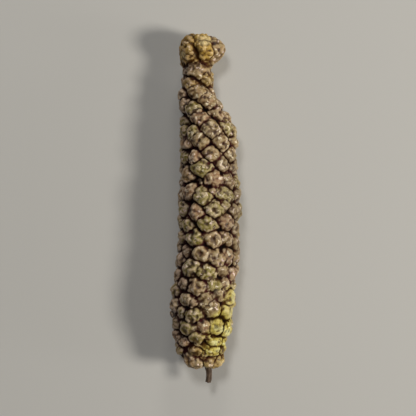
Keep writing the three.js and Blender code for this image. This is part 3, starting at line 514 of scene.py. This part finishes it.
class Nodes:
    def __init__(self, name):
        self.mat = bpy.data.materials.new(name)
        self.mat.use_nodes = True
        self.t = self.mat.node_tree
        self.t.nodes.clear()
        self.out = self.t.nodes.new("ShaderNodeOutputMaterial")
        self.bsdf = self.t.nodes.new("ShaderNodeBsdfPrincipled")
        self.t.links.new(self.bsdf.outputs[0], self.out.inputs[0])
        tc = self.t.nodes.new("ShaderNodeTexCoord")
        mp = self.t.nodes.new("ShaderNodeMapping")
        mp.inputs["Scale"].default_value = (1000, 1000, 1000)
        self.t.links.new(tc.outputs["Object"], mp.inputs["Vector"])
        self.mm = mp.outputs[0]

    def put(self, socket, value):
        if hasattr(value, "is_output"):
            self.t.links.new(value, socket)
        else:
            socket.default_value = value

    def attr(self, name):
        n = self.t.nodes.new("ShaderNodeAttribute")
        n.attribute_name = name
        return n.outputs["Fac"]

    def math(self, op, a, b=0.0, c=None, clamp=False):
        n = self.t.nodes.new("ShaderNodeMath")
        n.operation = op
        n.use_clamp = clamp
        self.put(n.inputs[0], a)
        self.put(n.inputs[1], b)
        if c is not None:
            self.put(n.inputs[2], c)
        return n.outputs[0]

    def ramp01(self, x, lo, hi, a=0.0, b=1.0):
        n = self.t.nodes.new("ShaderNodeMapRange")
        n.interpolation_type = "SMOOTHSTEP"
        for key, v in (("Value", x), ("From Min", lo), ("From Max", hi), ("To Min", a), ("To Max", b)):
            self.put(n.inputs[key], v)
        return n.outputs[0]

    def mix(self, f, a, b, mode="MIX"):
        n = self.t.nodes.new("ShaderNodeMix")
        n.data_type = "RGBA"
        n.blend_type = mode
        n.clamp_factor = True
        self.put(n.inputs["Factor"], f)
        self.put([s for s in n.inputs if s.name == "A" and s.type == "RGBA"][0], a)
        self.put([s for s in n.inputs if s.name == "B" and s.type == "RGBA"][0], b)
        return [s for s in n.outputs if s.type == "RGBA"][0]

    def noise(self, scale, detail=3.0, rough=0.55, w=None, vector=None, distortion=0.0):
        n = self.t.nodes.new("ShaderNodeTexNoise")
        n.noise_dimensions = "4D" if w is not None else "3D"
        self.put(n.inputs["Vector"], vector or self.mm)
        n.inputs["Scale"].default_value = scale
        n.inputs["Detail"].default_value = detail
        n.inputs["Roughness"].default_value = rough
        n.inputs["Distortion"].default_value = distortion
        if w is not None:
            self.put(n.inputs["W"], w)
        return n.outputs["Fac"]

    def voronoi(self, scale, feature="DISTANCE_TO_EDGE", vector=None):
        n = self.t.nodes.new("ShaderNodeTexVoronoi")
        n.feature = feature
        self.put(n.inputs["Vector"], vector or self.mm)
        n.inputs["Scale"].default_value = scale
        return n.outputs["Distance"]

    def colours(self, x, stops):
        n = self.t.nodes.new("ShaderNodeValToRGB")
        e = n.color_ramp.elements
        e[0].position, e[0].color = stops[0]
        e[1].position, e[1].color = stops[-1]
        for pos, col in stops[1:-1]:
            m = e.new(pos)
            m.color = col
        self.put(n.inputs[0], x)
        return n.outputs["Color"]

    def bump(self, height, distance, strength=1.0, normal=None):
        n = self.t.nodes.new("ShaderNodeBump")
        n.inputs["Distance"].default_value = distance
        n.inputs["Strength"].default_value = strength
        self.put(n.inputs["Height"], height)
        if normal is not None:
            self.put(n.inputs["Normal"], normal)
        return n.outputs[0]


def berry_material():
    m = Nodes("berry_skin")
    relief, cavity, fine, valley = (m.attr(k) for k in ("relief", "cavity", "fine", "valley"))
    tone, tint, pale = (m.attr(k) for k in ("tone", "tint", "pale"))
    w = m.math("MULTIPLY", m.attr("who"), 9.0)
    broad = m.noise(0.55, 3)
    blotch = m.noise(1.9, 4, 0.6, w=w)
    mid = m.noise(4.6, 5, 0.62, w=w)
    grain = m.noise(15.0, 4, 0.6)
    # skin: brown, olive, khaki, tan from berry to berry and in blotches on each
    x = m.math("ADD", m.math("MULTIPLY", tone, 0.38), m.math("MULTIPLY", blotch, 0.85))
    x = m.math("ADD", x, m.math("MULTIPLY", broad, 0.35))
    x = m.math("SUBTRACT", x, 0.30, clamp=True)
    skin = m.colours(x, [
        (0.00, lin(80, 52, 24)), (0.25, lin(106, 80, 38)), (0.48, lin(130, 104, 54)),
        (0.70, lin(150, 122, 74)), (1.00, lin(178, 146, 102))])
    olive = m.ramp01(m.math("ADD", tint, m.math("MULTIPLY", mid, 0.9)), 0.78, 1.18)
    skin = m.mix(m.math("MULTIPLY", olive, 0.80), skin, lin(146, 136, 44))
    rosy = m.ramp01(m.math("ADD", pale, m.math("MULTIPLY", blotch, 0.9)), 0.92, 1.32)
    skin = m.mix(m.math("MULTIPLY", rosy, 0.46), skin, lin(184, 132, 104))
    # golden tip and a bright yellow-green patch low on the right
    gold = m.math("MULTIPLY", m.attr("gold"), m.ramp01(mid, 0.25, 0.65, 0.55, 1.0))
    gold = m.math("MULTIPLY", gold, m.ramp01(m.noise(1.25, 2, 0.5, w=m.math("ADD", w, 5.1)), 0.40, 0.54, 0.50, 1.0))
    skin = m.mix(gold, skin, m.colours(blotch, [(0.32, lin(122, 86, 14)), (0.48, lin(178, 136, 36)), (0.64, lin(228, 188, 92))]))
    sun = m.math("MULTIPLY", m.attr("sun"), m.ramp01(mid, 0.2, 0.6, 0.6, 1.0))
    skin = m.mix(sun, skin, m.colours(blotch, [(0.34, lin(104, 80, 4)), (0.47, lin(190, 164, 28)), (0.58, lin(255, 244, 140))]))
    # plum: the one plum berry's own colour, and painted shade in the pits by the tip
    skin = m.mix(m.math("MULTIPLY", m.attr("plum"), 0.85), skin, m.colours(mid, [(0.35, lin(46, 28, 30)), (0.65, lin(104, 84, 86))]))
    # wine-brown patches, stronger towards the creases as painted shade, and painted shade on the flanks, darker than
    # the crowns
    soft = m.noise(2.3, 2, 0.5, w=m.math("ADD", w, 3.7))
    patch = m.ramp01(soft, 0.50, 0.66)
    skin = m.mix(m.math("MULTIPLY", patch, m.ramp01(cavity, -0.10, 0.02, 0.50, 0.82)), skin, m.mix(m.math("MAXIMUM", m.attr("sun"), m.attr("gold")), lin(76, 40, 36), lin(116, 80, 18)))
    flank_shade = m.ramp01(cavity, -0.06, 0.07)
    skin = m.mix(m.math("MULTIPLY", flank_shade, 0.55), skin, m.mix(m.math("MAXIMUM", m.attr("sun"), m.attr("gold")), lin(88, 58, 30), lin(108, 78, 12)))
    # pale bloom and painted highlight on what stands proud and on the crests, painted shade in the troughs, and dark
    # brown painted shade in the creases
    proud = m.ramp01(fine, 0.002, -0.022)
    skin = m.mix(m.math("MULTIPLY", proud, m.ramp01(grain, 0.36, 0.62, 0.10, 0.62)), skin, m.mix(m.attr("sun"), m.mix(m.attr("gold"), lin(216, 194, 152), lin(234, 198, 106)), lin(250, 236, 128)))
    meso = m.attr("meso")
    crest_highlight = m.math("MULTIPLY", m.ramp01(meso, -0.035, -0.105), m.ramp01(grain, 0.34, 0.60, 0.35, 1.0))
    skin = m.mix(m.math("MULTIPLY", crest_highlight, 0.50), skin, m.mix(m.attr("sun"), m.mix(m.attr("gold"), lin(226, 204, 166), lin(236, 200, 126)), lin(252, 234, 124)))
    skin = m.mix(m.math("MULTIPLY", m.ramp01(meso, 0.010, 0.085), 0.62), skin, m.mix(m.math("MAXIMUM", m.attr("sun"), m.attr("gold")), lin(74, 42, 24), lin(90, 58, 10)))
    low = m.ramp01(fine, 0.004, 0.030)
    skin = m.mix(m.math("MULTIPLY", low, 0.65), skin, lin(62, 37, 15))
    winey = m.ramp01(m.noise(0.8, 3, 0.6), 0.44, 0.58)
    glint = m.math("MULTIPLY", m.ramp01(m.noise(2.9, 2, 0.5, w=m.math("ADD", w, 8.3)), 0.58, 0.635), m.ramp01(cavity, 0.03, -0.04))
    skin = m.mix(m.math("MULTIPLY", glint, 0.92), skin, m.mix(m.attr("sun"), m.mix(m.attr("gold"), m.mix(winey, lin(252, 238, 204), lin(248, 221, 212)), lin(255, 226, 172)), lin(255, 249, 172)))
    # the same on the left, where the highlights are pinker
    skin = m.mix(m.math("MULTIPLY", m.math("MULTIPLY", m.attr("painted_light_left"), m.ramp01(fine, -0.010, -0.030)), 0.40), skin, lin(226, 190, 176))
    # painted highlights at the palest places
    painted_highlight = m.math("MULTIPLY", m.attr("painted_highlight"), m.ramp01(mid, 0.34, 0.56, 0.30, 1.0))
    skin = m.mix(painted_highlight, skin, m.mix(m.attr("sun"), lin(255, 232, 172), lin(255, 253, 182)))
    speck = m.ramp01(grain, 0.56, 0.70)
    skin = m.mix(m.math("MULTIPLY", speck, 0.22), skin, lin(80, 54, 30))
    # dark stigma scars, and painted shade in the pits where berries part
    skin = m.mix(m.math("MULTIPLY", m.attr("pit"), 0.85), skin, lin(40, 22, 14))
    # painted highlight on the raised rims, painted shade in the sunken crowns
    skin = m.mix(m.math("MULTIPLY", m.attr("lip"), 0.45), skin, lin(206, 184, 146))
    skin = m.mix(m.math("MULTIPLY", m.attr("dish"), 0.35), skin, lin(96, 76, 34))
    # pale raised flakes of skin, lightened further as painted highlights
    skin = m.mix(m.math("MULTIPLY", m.attr("flake"), 0.60), skin, m.mix(m.attr("sun"), m.mix(m.attr("gold"), lin(228, 206, 172), lin(240, 206, 142)), lin(252, 238, 136)))
    # painted shade in the grooves, from red-brown to nearly black the deeper they are
    groove_shade = m.math("ADD", cavity, m.math("MULTIPLY", m.math("SUBTRACT", mid, 0.5), 0.12))
    groove_shade = m.ramp01(m.math("ADD", groove_shade, m.math("MULTIPLY", m.attr("sun"), 0.05)), 0.01, 0.17)
    skin = m.mix(groove_shade, skin, m.mix(m.attr("gold"), m.mix(m.attr("sun"), m.mix(winey, lin(56, 30, 19), lin(80, 32, 36)), lin(70, 46, 8)), lin(92, 56, 20)))
    deep = m.ramp01(cavity, 0.09, 0.26)
    deep = m.math("MAXIMUM", deep, m.ramp01(relief, 0.45, 0.15))
    deep = m.math("MAXIMUM", deep, m.math("MULTIPLY", m.ramp01(m.attr("hole"), 0.35, 0.9), 0.9))
    skin = m.mix(deep, skin, m.mix(m.math("MULTIPLY", m.attr("gold"), 0.8), m.mix(winey, lin(11, 6, 4), lin(26, 8, 12)), lin(58, 33, 13)))
    skin = m.mix(m.math("MULTIPLY", m.ramp01(valley, 0.25, 0.95), 0.85), skin, m.mix(m.math("MULTIPLY", m.attr("gold"), 0.7), m.mix(winey, lin(17, 8, 6), lin(34, 11, 15)), lin(66, 38, 16)))
    # painted shade on the side away from +X, where the key light falls least: the grooves darker and redder there,
    # and that whole side a little darker
    painted_light_left = m.math("MULTIPLY", m.attr("painted_light_left"), m.ramp01(cavity, -0.02, 0.10))
    skin = m.mix(m.math("MULTIPLY", painted_light_left, 0.74), skin, m.mix(winey, lin(18, 7, 6), lin(38, 10, 16)))
    skin = m.mix(m.math("MULTIPLY", m.attr("painted_light_left"), 0.24), skin, lin(44, 8, 10))
    skin = m.mix(m.math("MULTIPLY", m.math("MAXIMUM", m.attr("sun"), m.attr("gold")), 0.11), skin, lin(84, 52, 0))
    # painted shade on the middle of the right side
    skin = m.mix(m.attr("painted_shade_right"), skin, lin(60, 42, 26))
    m.put(m.bsdf.inputs["Base Color"], skin)
    rough = m.ramp01(mid, 0.3, 0.7, 0.34, 0.58)
    rough = m.math("ADD", rough, m.math("MULTIPLY", groove_shade, 0.30), clamp=True)
    rough = m.math("SUBTRACT", rough, m.math("MULTIPLY", m.math("MAXIMUM", m.math("MAXIMUM", glint, painted_highlight), m.attr("flake")), 0.22))
    m.put(m.bsdf.inputs["Roughness"], rough)
    shine = m.ramp01(m.math("MAXIMUM", groove_shade, valley), 0.0, 0.8, 0.60, 0.10)
    warm = m.math("MAXIMUM", m.attr("sun"), m.attr("gold"))
    m.put(m.bsdf.inputs["Specular IOR Level"], m.math("MULTIPLY", shine, m.ramp01(warm, 0.2, 0.9, 1.0, 0.55)))
    b = m.bump(mid, 0.00007, 1.0)
    b = m.bump(grain, 0.000032, 1.0, b)
    m.put(m.bsdf.inputs["Normal"], b)
    return m.mat


def stalk_material():
    m = Nodes("stalk_bark")
    stretch = m.t.nodes.new("ShaderNodeMapping")
    stretch.inputs["Scale"].default_value = (1, 0.16, 1)
    m.t.links.new(m.mm, stretch.inputs["Vector"])
    fibre = m.noise(16, 5, 0.6, vector=stretch.outputs[0])
    blotch = m.noise(2.6, 3)
    x = m.math("ADD", m.math("MULTIPLY", fibre, 0.7), m.math("MULTIPLY", blotch, 0.4))
    bark = m.colours(x, [(0.35, lin(44, 30, 24)), (0.5, lin(78, 60, 46)), (0.62, lin(104, 84, 66)), (0.75, lin(132, 110, 88))])
    bark = m.mix(m.attr("cut"), bark, m.colours(m.noise(14, 3), [(0.4, lin(120, 96, 64)), (0.6, lin(186, 164, 124))]))
    bark = m.mix(m.attr("root"), bark, lin(30, 18, 12))
    m.put(m.bsdf.inputs["Base Color"], bark)
    m.put(m.bsdf.inputs["Roughness"], m.ramp01(fibre, 0.3, 0.7, 0.6, 0.9))
    m.put(m.bsdf.inputs["Normal"], m.bump(fibre, 0.00004, 1.0))
    return m.mat


# ---- the spike -------------------------------------------------------------------------------

grid, attrs, win = make_spike_arrays()
px, py, pz = grid[..., 0], grid[..., 1], grid[..., 2]
jag = noise(grid.reshape(-1, 3) * 0.9, 21).reshape(px.shape)
attrs["gold"] = np.maximum(0.50 * smooth(9.8, 14.2, py + 1.2 * jag), 0.40 * smooth(-12.4, -14.6, py + 1.0 * jag))
attrs["gold"] = attrs["gold"] * (1 - 0.8 * (BERRY["skin"][win] == 3))
attrs["gold"] = blur(np.maximum(attrs["gold"], GOLDEN[win] * (1 - 0.3 * jag)), 1.2)
dist = np.sqrt(((px - 1.5) / 1.5) ** 2 + ((py + 12.6) / 2.6) ** 2 + ((pz - 1.8) / 2.4) ** 2)
attrs["sun"] = 1 - smooth(0.55, 1.25, dist + 0.35 * jag)
dist = np.sqrt(((px - 2.3) / 0.9) ** 2 + ((py + 9.6) / 1.8) ** 2 + ((pz - 1.2) / 1.6) ** 2)
attrs["sun"] = np.maximum(attrs["sun"], 0.85 * (1 - smooth(0.5, 1.2, dist + 0.35 * jag)))
dist = np.sqrt(((px - 0.55) / 1.15) ** 2 + ((py + 13.85) / 0.95) ** 2 + ((pz - 2.0) / 1.4) ** 2)
attrs["sun"] = np.maximum(attrs["sun"], 0.9 * (1 - smooth(0.5, 1.2, dist + 0.35 * jag)))
# painted highlights: the palest places, at the tip, along the right of the yellow patch, and at the base
attrs["painted_highlight"] = np.zeros_like(px)
# painted light on the side away from +X: darker shade and pinker highlights
attrs["painted_light_left"] = smooth(-0.7, -2.0, px + 0.4 * jag)
# painted shade on the middle of the right side
attrs["painted_shade_right"] = 0.27 * smooth(1.3, 2.4, px) * smooth(-7.5, -5.0, py) * smooth(5.5, 2.5, py)
for cx, cy, cz, ax, ay, az, k in ((-0.05, 15.35, 1.3, 0.85, 0.52, 1.3, 1.0), (-2.15, 14.0, 0.6, 0.30, 0.34, 1.2, 0.7), (1.60, -12.25, 1.8, 0.48, 0.42, 1.2, 1.0), (2.12, -12.6, 1.4, 0.36, 0.42, 1.2, 1.0), (1.02, -12.1, 2.2, 0.30, 0.30, 1.0, 0.8),
                                  (2.72, -9.2, 0.9, 0.45, 0.95, 1.3, 0.9), (2.45, -10.75, 0.9, 0.40, 0.50, 1.3, 0.8), (0.75, -13.5, 2.0, 0.42, 0.34, 1.0, 1.0), (1.2, -14.2, 1.8, 0.30, 0.26, 1.0, 0.7),
                                  (-1.35, -14.6, 1.2, 0.50, 0.26, 1.0, 0.5), (-0.55, -15.35, 0.9, 0.55, 0.28, 1.0, 0.55)):
    dist = np.sqrt(((px - cx) / ax) ** 2 + ((py - cy) / ay) ** 2 + ((pz - cz) / az) ** 2)
    attrs["painted_highlight"] = np.maximum(attrs["painted_highlight"], k * (1 - smooth(0.45, 1.2, dist + 0.32 * jag)))
# painted shade, in plum, at two hollows near the tip
dark = np.exp(-(((px + 1.98) / 0.45) ** 2 + ((py - 12.68) / 0.42) ** 2) ** 1.5) * (pz > -0.6)
dark = np.maximum(dark, np.exp(-(((px + 0.95) / 0.34) ** 2 + ((py - 14.2) / 0.52) ** 2) ** 1.5) * (pz > 0))
attrs["plum"] = np.maximum(blur((BERRY["skin"][win] == 7) * 1.0, 1.0), 0.8 * dark)
# pressed flat where it rests
grid[..., 2] = np.maximum(grid[..., 2], RESTS_AT_Z)
first = grid[0].mean(0)
last = grid[-1].mean(0)
spike = add_mesh("spike_of_berries", grid, first, last, attrs)
spike.data.materials.append(berry_material())
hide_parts("fruiting_spike")
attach(spike, "root")


# ---- the stalk -------------------------------------------------------------------------------

def make_stalk():
    root = BASE_CENTRE + BASE_AXIS * 1.70
    pts = np.array([root] + [list(q) for q in STALK_LINE])
    rows, n = 64, 48
    # a smooth line through the points
    seg = np.concatenate([[0], np.cumsum(np.linalg.norm(np.diff(pts, axis=0), axis=1))])
    f = np.linspace(0, seg[-1], rows)
    line = np.stack([np.interp(f, seg, pts[:, c]) for c in range(3)], 1)
    for _ in range(40):
        line[1:-1] = (line[:-2] + 2 * line[1:-1] + line[2:]) / 4
    tangent = np.gradient(line, axis=0)
    tangent /= np.linalg.norm(tangent, axis=1)[:, None]
    right = np.cross([0, 0, 1.0], tangent)
    right /= np.linalg.norm(right, axis=1)[:, None]
    up = np.cross(tangent, right)
    u = np.linspace(0, 1, rows)
    radius = 0.262 + 0.05 * (1 - smooth(0.2, 0.75, u)) + 0.16 * (1 - smooth(0.0, 0.30, u))
    a = np.arange(n) / n * 2 * np.pi
    ribs = 0.016 * np.cos(7 * a[None] + 1.5 * np.sin(3 * u[:, None])) + 0.012 * np.cos(12 * a[None] + 2 + 2.2 * u[:, None])
    cosa, sina = np.cos(a)[None, :, None], np.sin(a)[None, :, None]
    base = line[:, None] + (right[:, None] * cosa + up[:, None] * sina) * radius[:, None, None]
    wob = noise(base.reshape(-1, 3) * np.array([5, 1.6, 5]), 31).reshape(rows, n)
    r = radius[:, None] + ribs + 0.035 * wob
    g = line[:, None] + (right[:, None] * cosa + up[:, None] * sina) * r[..., None]
    # a rough broken end: the rim is uneven, and the face is closed by rings that shrink inwards
    rim = noise(np.stack([np.cos(a) * 2.4, np.sin(a) * 2.4, 0 * a + 5], 1), 33)
    g[-6:] += (tangent[-1] * 0.05) * (np.linspace(0, 1, 6)[:, None, None] * rim[None, :, None])
    rings = [g]
    cut = [np.zeros((rows, n))]
    for s, depth in ((0.82, 0.012), (0.6, -0.02), (0.38, 0.0), (0.16, -0.03)):
        face = g[-1] * s + line[-1] * (1 - s)
        face = face + tangent[-1][None] * (depth + 0.025 * noise(face * 9, 35))[:, None]
        rings.append(face[None])
        cut.append(np.ones((1, n)))
    g = np.concatenate(rings)
    cut = np.concatenate(cut)
    rootmask = (1 - smooth(0.10, 0.34, np.concatenate([u, np.ones(4)])))[:, None] * np.ones((1, n))
    return add_mesh("cut_stalk", g, g[0].mean(0), g[-1].mean(0), dict(cut=cut, root=rootmask))


stalk = make_stalk()
stalk.data.materials.append(stalk_material())
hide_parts("stalk")
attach(stalk, "root")


# ---- floor, light, camera --------------------------------------------------------------------

me = bpy.data.meshes.new("floor")
h = 0.6
me.from_pydata([(-h, -h, 0), (h, -h, 0), (h, h, 0), (-h, h, 0)], [], [(0, 1, 2, 3)])
floor = bpy.data.objects.new("floor", me)
bpy.context.scene.collection.objects.link(floor)
floor.location = (0, 0, -0.00001)
mat = bpy.data.materials.new("floor_pale")
mat.use_nodes = True
mat.node_tree.nodes["Principled BSDF"].inputs["Base Color"].default_value = (0.61, 0.605, 0.59, 1)
mat.node_tree.nodes["Principled BSDF"].inputs["Roughness"].default_value = 0.85
# far out, beyond the lights, the floor runs into the pale backdrop
BACKDROP = (0.33, 0.325, 0.31, 1)
nodes, links = mat.node_tree.nodes, mat.node_tree.links
place, away, fade = (nodes.new("ShaderNode" + k) for k in ("TexCoord", "VectorMath", "MapRange"))
away.operation = "LENGTH"
fade.interpolation_type = "SMOOTHSTEP"
fade.inputs["From Min"].default_value, fade.inputs["From Max"].default_value = 0.06, 0.30
glow, blend = nodes.new("ShaderNodeEmission"), nodes.new("ShaderNodeMixShader")
glow.inputs[0].default_value = BACKDROP
links.new(place.outputs["Object"], away.inputs[0])
links.new(away.outputs["Value"], fade.inputs["Value"])
links.new(fade.outputs[0], blend.inputs[0])
links.new(nodes["Principled BSDF"].outputs[0], blend.inputs[1])
links.new(glow.outputs[0], blend.inputs[2])
links.new(blend.outputs[0], nodes["Material Output"].inputs[0])
me.materials.append(mat)


def area(name, at, size, watts, colour=(1, 1, 1)):
    data = bpy.data.lights.new(name, "AREA")
    data.shape = "DISK"
    data.size = size
    data.energy = watts
    data.color = colour
    ob = bpy.data.objects.new(name, data)
    ob.location = at
    ob.rotation_euler = (Vector((0, 0, 0.003)) - Vector(at)).to_track_quat("-Z", "Y").to_euler()
    bpy.context.scene.collection.objects.link(ob)
    return ob


area("key", (0.205, -0.03, 0.17), 0.06, 0.42, (1.0, 0.95, 0.85))
area("rim", (0.27, -0.04, 0.07), 0.06, 0.07, (1.0, 0.97, 0.92))
area("fill", (-0.16, -0.10, 0.28), 0.20, 0.015, (1.0, 0.97, 0.94))
area("top", (-0.045, 0.12, 0.29), 0.07, 0.25, (1, 0.98, 0.94))
area("back", (0.02, 0.24, 0.10), 0.05, 0.10, (1.0, 0.96, 0.86))

world = bpy.data.worlds.new("studio")
world.use_nodes = True
nodes, links = world.node_tree.nodes, world.node_tree.links
nodes["Background"].inputs[0].default_value = (0.9, 0.93, 1.0, 1)
nodes["Background"].inputs[1].default_value = 0.025
seen = nodes.new("ShaderNodeBackground")
seen.inputs[0].default_value = BACKDROP
path, either = nodes.new("ShaderNodeLightPath"), nodes.new("ShaderNodeMixShader")
links.new(path.outputs["Is Camera Ray"], either.inputs[0])
links.new(nodes["Background"].outputs[0], either.inputs[1])
links.new(seen.outputs[0], either.inputs[2])
links.new(either.outputs[0], nodes["World Output"].inputs[0])
bpy.context.scene.world = world

cam = bpy.data.cameras.new("camera")
cam.lens = 135
cam.sensor_width = 36
cam.clip_start = 0.001
cam.clip_end = 10
camera = bpy.data.objects.new("camera", cam)
camera.location = (0.0002, 0.0, 0.153)
camera.rotation_euler = (0, 0, 0)
bpy.context.scene.collection.objects.link(camera)
bpy.context.scene.camera = camera
bpy.context.scene.view_settings.view_transform = "Standard"
